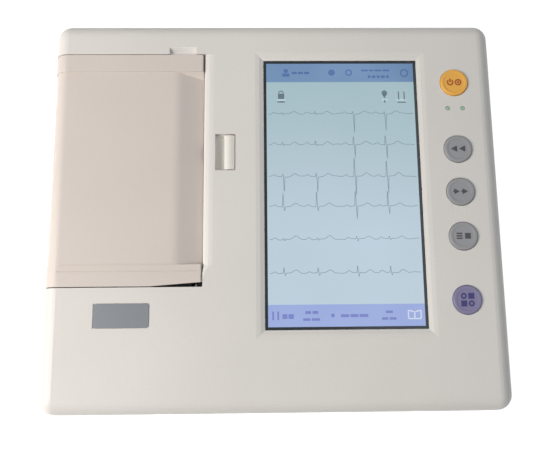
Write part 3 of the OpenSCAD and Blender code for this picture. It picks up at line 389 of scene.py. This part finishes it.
class Sheet:
    """Collects thin raised shapes on the deck into one mesh."""

    def __init__(self, n0, n1):
        self.verts = []
        self.faces = []
        self.n0 = n0
        self.n1 = n1

    def prism(self, points):
        """A convex outline, counter-clockwise, raised from n0 to n1."""
        base = len(self.verts)
        count = len(points)
        for n in (self.n0, self.n1):
            self.verts += [on_deck(u, v, n) for u, v in points]
        self.faces.append([base + count + i for i in range(count)])
        self.faces.append([base + i for i in reversed(range(count))])
        for i in range(count):
            j = (i + 1) % count
            self.faces.append([base + i, base + j, base + count + j, base + count + i])

    def rect(self, u0, v0, u1, v1):
        self.prism([(u0, v0), (u1, v0), (u1, v1), (u0, v1)])

    def disc(self, u, v, r):
        steps = 20
        turn = 2 * math.pi / steps
        self.prism([(u + r * math.cos(i * turn), v + r * math.sin(i * turn))
                    for i in range(steps)])

    def ring(self, u, v, r, width, start=0.0, end=360.0, steps=24):
        """A ring, or a part of one between two angles in degrees."""
        a = [math.radians(start + (end - start) * i / steps) for i in range(steps + 1)]
        inner, outer = r - width / 2, r + width / 2
        for p, q in zip(a, a[1:]):
            self.prism([(u + inner * math.cos(p), v + inner * math.sin(p)),
                        (u + outer * math.cos(p), v + outer * math.sin(p)),
                        (u + outer * math.cos(q), v + outer * math.sin(q)),
                        (u + inner * math.cos(q), v + inner * math.sin(q))])

    def line(self, points, width):
        """A mitred polyline of the given width."""
        half = width / 2
        left, right = [], []
        for i, (u, v) in enumerate(points):
            pu, pv = points[max(i - 1, 0)]
            nu, nv = points[min(i + 1, len(points) - 1)]
            size = math.hypot(nu - pu, nv - pv) or 1.0
            du, dv = (nu - pu) / size, (nv - pv) / size
            left.append((u - dv * half, v + du * half))
            right.append((u + dv * half, v - du * half))
        for a, b, c, d in zip(right, right[1:], left[1:], left):
            self.prism([a, b, c, d])

    def piece(self, name, mat, body, slot):
        """Makes the mesh, which rides on a body of the part."""
        obj = add_mesh(name, self.verts, self.faces, mat)
        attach(obj, body)


# --- Display -----------------------------------------------------------------
SCREEN_N = GLASS_N + 0.02    # the lit area lies on the glass
LAYER = 0.01                 # thickness of each layer of the picture
LEFT_U = WINDOW[0] - SCREEN_W / 2
RIGHT_U = WINDOW[0] + SCREEN_W / 2
LOW_V = WINDOW[1] - SCREEN_LEN / 2
HIGH_V = WINDOW[1] + SCREEN_LEN / 2
STATUS_V = HIGH_V - 13.2     # lower side of the status strip
FOOT_V = LOW_V + 14.0        # upper side of the menu strip
TRACE_V = (63.3, 41.9, 20.1, 0.0, -21.7, -43.6)
TRACE_WIDTH = 0.34
TRACE_STEPS = 480
TRACE_INSET = 1.2            # from the screen's sides
BEATS_U = (5.0, 26.9, 52.2, 73.4)
# For each lead, the rise and fall of each of its four beats, in mm
BEATS = (((1, 1), (2, 1), (2, 13), (2, 12)),
         ((2, 1), (3, 1), (7, 9), (8, 10)),
         ((2, 12), (3, 11), (15, 13), (13, 12)),
         ((10, 3), (12, 3), (12, 9), (12, 6)),
         ((1, 1), (1, 1), (2, 2), (2, 1)),
         ((4, 2), (4, 2), (5, 3), (5, 2)))


def trace_points(v, beats, row):
    """One lead: a gently wandering line with a beat at each mark."""
    points = []
    for i in range(TRACE_STEPS + 1):
        u = LEFT_U + TRACE_INSET + (SCREEN_W - 2 * TRACE_INSET) * i / TRACE_STEPS
        y = 0.25 * math.sin(u * 0.31 + row) + 0.12 * math.sin(u * 0.9 + 2 * row)
        for at, (rise, fall) in zip(BEATS_U, beats):
            d = u - at
            y += rise * max(0.0, 1 - abs(d) / 0.5)
            y -= fall * max(0.0, 1 - abs(d - 0.9) / 0.5)
            y += 1.2 * math.exp(-((d + 5.5) / 1.3) ** 2)
            y += 2.0 * math.exp(-((d - 8.0) / 2.2) ** 2)
        points.append((u, v + y))
    return points


def bars(sheet, u, v, widths, height, gap=0.9):
    """A row of short plain bars, as a stand-in for a line of wording."""
    for width in widths:
        sheet.rect(u, v - height / 2, u + width, v + height / 2)
        u += width + gap


def layer(level):
    """A sheet for one layer of the picture; the marks are above the strips."""
    return Sheet(SCREEN_N + (level - 1) * LAYER, SCREEN_N + level * LAYER)


def show(sheet, name, light, low, high, fade=False):
    """Makes a sheet into a lit piece, between two colours given in 0 to 255."""
    sheet.piece(name, lit(light, srgb(*low), srgb(*high), fade), "root", "display_face")


def add_screen():
    """The lit area, its two strips and the traces."""
    area = layer(0)
    area.rect(LEFT_U, LOW_V, RIGHT_U, HIGH_V)
    show(area, "screen_area", "screen_light", (160, 187, 192), (194, 210, 224), fade=True)
    status = layer(1)
    status.rect(LEFT_U, STATUS_V, RIGHT_U, HIGH_V)
    show(status, "status_strip", "status_light", (100, 132, 170), (122, 152, 190))
    menu = layer(1)
    menu.rect(LEFT_U, LOW_V, RIGHT_U, FOOT_V)
    show(menu, "menu_strip", "menu_light", (146, 164, 222), (164, 180, 226))

    lines = layer(2)
    for row, (v, beats) in enumerate(zip(TRACE_V, BEATS)):
        lines.line(trace_points(v, beats, row), TRACE_WIDTH)
    show(lines, "ecg_traces", "trace_light", (116, 136, 148), (130, 148, 160))


def add_status_marks():
    marks = layer(2)
    u, v = LEFT_U + 13.2, HIGH_V - 6.8
    marks.disc(u, v + 1.6, 1.5)
    marks.rect(u - 2.4, v - 2.4, u + 2.4, v - 0.2)
    bars(marks, u + 4.0, v + 0.2, (3.4, 3.6, 3.4), 1.7, 0.7)
    marks.disc(WINDOW[0] - 5.6, v + 0.4, 2.3)
    marks.ring(WINDOW[0] + 6.0, v + 0.4, 1.9, 0.9)
    bars(marks, WINDOW[0] + 14.5, v + 1.9, (4.6, 2.8, 4.4, 4.6), 1.2)
    bars(marks, WINDOW[0] + 18.9, v - 2.6, (1.9, 2.4, 1.9, 2.6, 1.9), 1.8)
    marks.ring(RIGHT_U - 6.0, v, 2.4, 0.9)
    show(marks, "status_marks", "status_mark", (74, 104, 158), (88, 118, 170))


def add_icons():
    """A lock, a pin and two bars below the status strip, and the rules under them."""
    icons = layer(2)
    u, v = LEFT_U + 9.8, STATUS_V - 9.5
    icons.ring(u, v + 1.6, 1.5, 0.7, 0, 180, 12)
    icons.rect(u - 2.1, v - 2.4, u + 2.1, v + 1.4)
    icons.rect(u - 2.5, v - 5.0, u + 2.5, v - 4.0)
    u = RIGHT_U - 20.0
    icons.disc(u, v + 1.6, 1.9)
    icons.prism([(u - 1.7, v + 0.9), (u, v - 2.2), (u + 1.7, v + 0.9)])
    icons.rect(u - 0.5, v - 5.2, u + 0.5, v - 3.4)
    u = RIGHT_U - 8.6
    for side in (-1, 1):
        icons.rect(u + side * 1.9 - 0.4, v - 3.4, u + side * 1.9 + 0.4, v + 2.6)
    icons.rect(u - 2.8, v - 5.4, u + 2.8, v - 4.6)
    show(icons, "screen_icons", "icon_light", (92, 112, 120), (106, 126, 134))

    pale = layer(2)
    for u0, u1 in ((LEFT_U + 7.3, LEFT_U + 13.0), (RIGHT_U - 22.0, RIGHT_U - 17.6),
                   (RIGHT_U - 12.0, RIGHT_U - 5.6)):
        pale.rect(u0, v - 3.6, u1, v - 3.0)
    show(pale, "icon_rules", "icon_pale", (204, 220, 226), (214, 228, 234))


def add_menu_marks():
    foot = layer(2)
    v = LOW_V + 7.0
    foot.rect(LEFT_U + 2.6, v - 2.6, LEFT_U + 3.7, v + 2.8)
    foot.rect(LEFT_U + 5.8, v - 2.6, LEFT_U + 6.9, v + 2.8)
    bars(foot, LEFT_U + 9.0, v - 0.4, (3.2, 3.4), 3.0, 0.6)
    bars(foot, LEFT_U + 23.5, v + 2.0, (3.6, 3.6), 1.8)
    bars(foot, LEFT_U + 22.0, v - 2.4, (4.6, 5.2), 1.6)
    foot.disc(WINDOW[0] - 8.8, v, 1.2)
    bars(foot, WINDOW[0] - 3.8, v - 0.2, (5.4, 5.0, 5.6), 1.9, 0.7)
    bars(foot, RIGHT_U - 25.0, v + 2.0, (4.6,), 1.6)
    bars(foot, RIGHT_U - 27.5, v - 2.2, (4.0, 4.2), 1.6)
    show(foot, "menu_marks", "menu_mark", (112, 122, 190), (128, 138, 202))

    # an open book in the corner
    book = layer(2)
    u = RIGHT_U - 6.6
    for a, b in (((-4.0, -2.4), (-4.0, 2.8)), ((-4.0, 2.8), (-0.4, 2.0)),
                 ((0.4, 2.0), (4.0, 2.8)), ((4.0, 2.8), (4.0, -2.4)),
                 ((-4.0, -2.4), (4.0, -2.4)), ((0, 2.0), (0, -2.4))):
        book.line([(u + a[0], v + a[1]), (u + b[0], v + b[1])], 0.8)
    show(book, "menu_book", "menu_pale", (208, 216, 236), (218, 226, 242))


# --- Key marks -----------------------------------------------------------------
MARK_SINK = 0.02             # the marks start a little inside the keys
MARK_RISE = 0.05
PAIR = 2.7                   # each key has two marks, this far from its middle
BLOCK = 1.9                  # half a side of a square mark


def triangle(sheet, u, v, size):
    """A small arrowhead; a negative size points left."""
    if size > 0:
        sheet.prism([(u - size / 2, v - size * 0.55), (u + size / 2, v),
                     (u - size / 2, v + size * 0.55)])
    else:
        sheet.prism([(u - size / 2, v - size * 0.55), (u - size / 2, v + size * 0.55),
                     (u + size / 2, v)][::-1])


def key_sheet():
    return Sheet(KEY_TOP - MARK_SINK, KEY_TOP + MARK_RISE)


def add_key_marks():
    """Plain marks on the five keys, which ride on them."""
    dark_orange = plastic("print_orange", srgb(168, 80, 24), rough=0.5)
    dark_grey = plastic("print_grey", srgb(66, 64, 68), rough=0.5)
    dark_purple = plastic("print_purple", srgb(58, 50, 106), rough=0.5)

    marks = key_sheet()
    u, v = KEY_U - PAIR, POWER_V
    marks.ring(u, v, 1.8, 1.0, 125, 415)
    marks.rect(u - 0.5, v, u + 0.5, v + 2.6)
    u = KEY_U + PAIR
    marks.ring(u, v, 1.8, 1.0)
    marks.disc(u, v, 0.8)
    marks.piece("power_marks", dark_orange, "power_button", "key_orange")

    marks = key_sheet()
    v = GREY_V[0]
    for du in (-PAIR - 0.4, PAIR - 0.4):
        triangle(marks, KEY_U + du, v, -3.6)
    for du in (-PAIR, PAIR):
        marks.rect(KEY_U + du + 1.3, v - BLOCK, KEY_U + du + 2.0, v + BLOCK)
    marks.piece("rewind_marks", dark_grey, "rewind_button", "key_grey")

    marks = key_sheet()
    v = GREY_V[1]
    for du in (-PAIR, PAIR):
        triangle(marks, KEY_U + du + 0.2, v, 3.6)
        marks.rect(KEY_U + du - 2.3, v - 0.6, KEY_U + du - 1.5, v + 0.6)
    marks.piece("advance_marks", dark_grey, "advance_button", "key_grey")

    marks = key_sheet()
    v = GREY_V[2]
    for dv in (-1.6, 0, 1.6):
        marks.rect(KEY_U - PAIR - BLOCK, v + dv - 0.5, KEY_U - PAIR + BLOCK, v + dv + 0.5)
    marks.rect(KEY_U + PAIR - BLOCK, v - BLOCK, KEY_U + PAIR + BLOCK, v + BLOCK)
    marks.piece("select_marks", dark_grey, "select_button", "key_grey")

    marks = key_sheet()
    for du, dv in ((-1, 1), (1, 1), (-1, -1), (1, -1)):
        cu, cv = KEY_U + du * 2.4, START_V + dv * 2.4
        if du * dv > 0:
            marks.rect(cu - BLOCK, cv - BLOCK, cu + BLOCK, cv + BLOCK)
        else:
            marks.ring(cu, cv, 1.4, 1.1)
    marks.piece("start_marks", dark_purple, "start_button", "key_purple")


# --- Floor and light ---------------------------------------------------------------
FLOOR_SIZE = 4.0                 # half a side, in metres
FLOOR_GLOW = 0.85                # its own light, for what the camera and gloss see
FLOOR_MATT = 0.6                 # its colour, which takes the shadow
WORLD_FILL = 0.207
ROOM_COLOUR = (0.86, 0.94, 1.0, 1)
ROOM_SIDE = (-0.35, -0.75, 0.5)  # the side on which the room is brightest
# Each lamp: where it is, what it aims at, size, power and colour
LAMPS = {
    "window": ((-0.86, -0.26, 0.65), (-0.05, 0, 0.05), 0.5, 11.3, (1.0, 0.98, 0.95)),
    "ceiling": ((0.62, 0.1, 1.3), (0.1, 0, 0.05), 1.0, 3.0, (0.84, 0.94, 1.0)),
}


def seen_ray(tree):
    """A socket that is 1 for the rays of the camera, of gloss and through glass."""
    paths = tree.nodes.new("ShaderNodeLightPath")
    socket = paths.outputs["Is Camera Ray"]
    for name in ("Is Glossy Ray", "Is Transmission Ray"):
        either = tree.nodes.new("ShaderNodeMath")
        either.operation = "MAXIMUM"
        tree.links.new(socket, either.inputs[0])
        tree.links.new(paths.outputs[name], either.inputs[1])
        socket = either.outputs["Value"]
    return socket


def floor_material():
    """A pale floor that shows white where it is seen and keeps a soft shadow."""
    m = Nodes("floor")
    glow = m.add("Emission", Strength=1.0)
    glow.inputs["Color"].default_value = (FLOOR_GLOW,) * 3 + (1,)
    dark = m.add("Emission", Strength=0.0)
    pick = m.add("MixShader")
    m.tree.links.new(seen_ray(m.tree), pick.inputs["Fac"])
    m.link(dark, "Emission", pick, 1)
    m.link(glow, "Emission", pick, 2)
    matt = m.add("BsdfDiffuse")
    matt.inputs["Color"].default_value = (FLOOR_MATT,) * 3 + (1,)
    both = m.add("AddShader")
    m.link(pick, "Shader", both, 0)
    m.link(matt, "BSDF", both, 1)
    m.link(both, "Shader", m.out, "Surface")
    return m.mat


def add_floor():
    s = FLOOR_SIZE
    obj = add_mesh("floor", [(-s, -s, 0), (s, -s, 0), (s, s, 0), (-s, s, 0)],
                   [(0, 1, 2, 3)], floor_material())


def area_light(name, at, aim, size, power, colour):
    data = bpy.data.lights.new(name, "AREA")
    data.shape = "DISK"
    data.size = size
    data.energy = power
    data.color = colour
    obj = bpy.data.objects.new(name, data)
    obj.location = at
    obj.rotation_euler = (Vector(aim) - Vector(at)).to_track_quat("-Z", "Y").to_euler()
    bpy.context.collection.objects.link(obj)


def add_room():
    """A white room that lights the part more from the front and the left."""
    world = bpy.data.worlds.new("room")
    world.use_nodes = True
    tree = world.node_tree
    tree.nodes.clear()
    out = tree.nodes.new("ShaderNodeOutputWorld")
    fill = tree.nodes.new("ShaderNodeBackground")
    fill.inputs["Color"].default_value = ROOM_COLOUR
    coords = tree.nodes.new("ShaderNodeTexCoord")
    toward = tree.nodes.new("ShaderNodeVectorMath")
    toward.operation = "DOT_PRODUCT"
    toward.inputs[1].default_value = ROOM_SIDE
    level = tree.nodes.new("ShaderNodeMapRange")
    level.inputs["From Min"].default_value = -1.0
    level.inputs["To Min"].default_value = WORLD_FILL * 0.9
    level.inputs["To Max"].default_value = WORLD_FILL * 1.4
    tree.links.new(coords.outputs["Generated"], toward.inputs[0])
    tree.links.new(toward.outputs["Value"], level.inputs["Value"])
    tree.links.new(level.outputs["Result"], fill.inputs["Strength"])
    white = tree.nodes.new("ShaderNodeBackground")
    white.inputs["Color"].default_value = (1, 1, 1, 1)
    pick = tree.nodes.new("ShaderNodeMixShader")
    tree.links.new(seen_ray(tree), pick.inputs["Fac"])
    tree.links.new(fill.outputs["Background"], pick.inputs[1])
    tree.links.new(white.outputs["Background"], pick.inputs[2])
    tree.links.new(pick.outputs["Shader"], out.inputs["Surface"])
    bpy.context.scene.world = world


# --- Scene -------------------------------------------------------------------
bpy.context.scene.view_settings.view_transform = "Standard"
add_camera()
finish_nodes()
add_screen()
add_status_marks()
add_icons()
add_menu_marks()
add_key_marks()
add_floor()
add_room()
for lamp, settings in LAMPS.items():
    area_light(lamp, *settings)
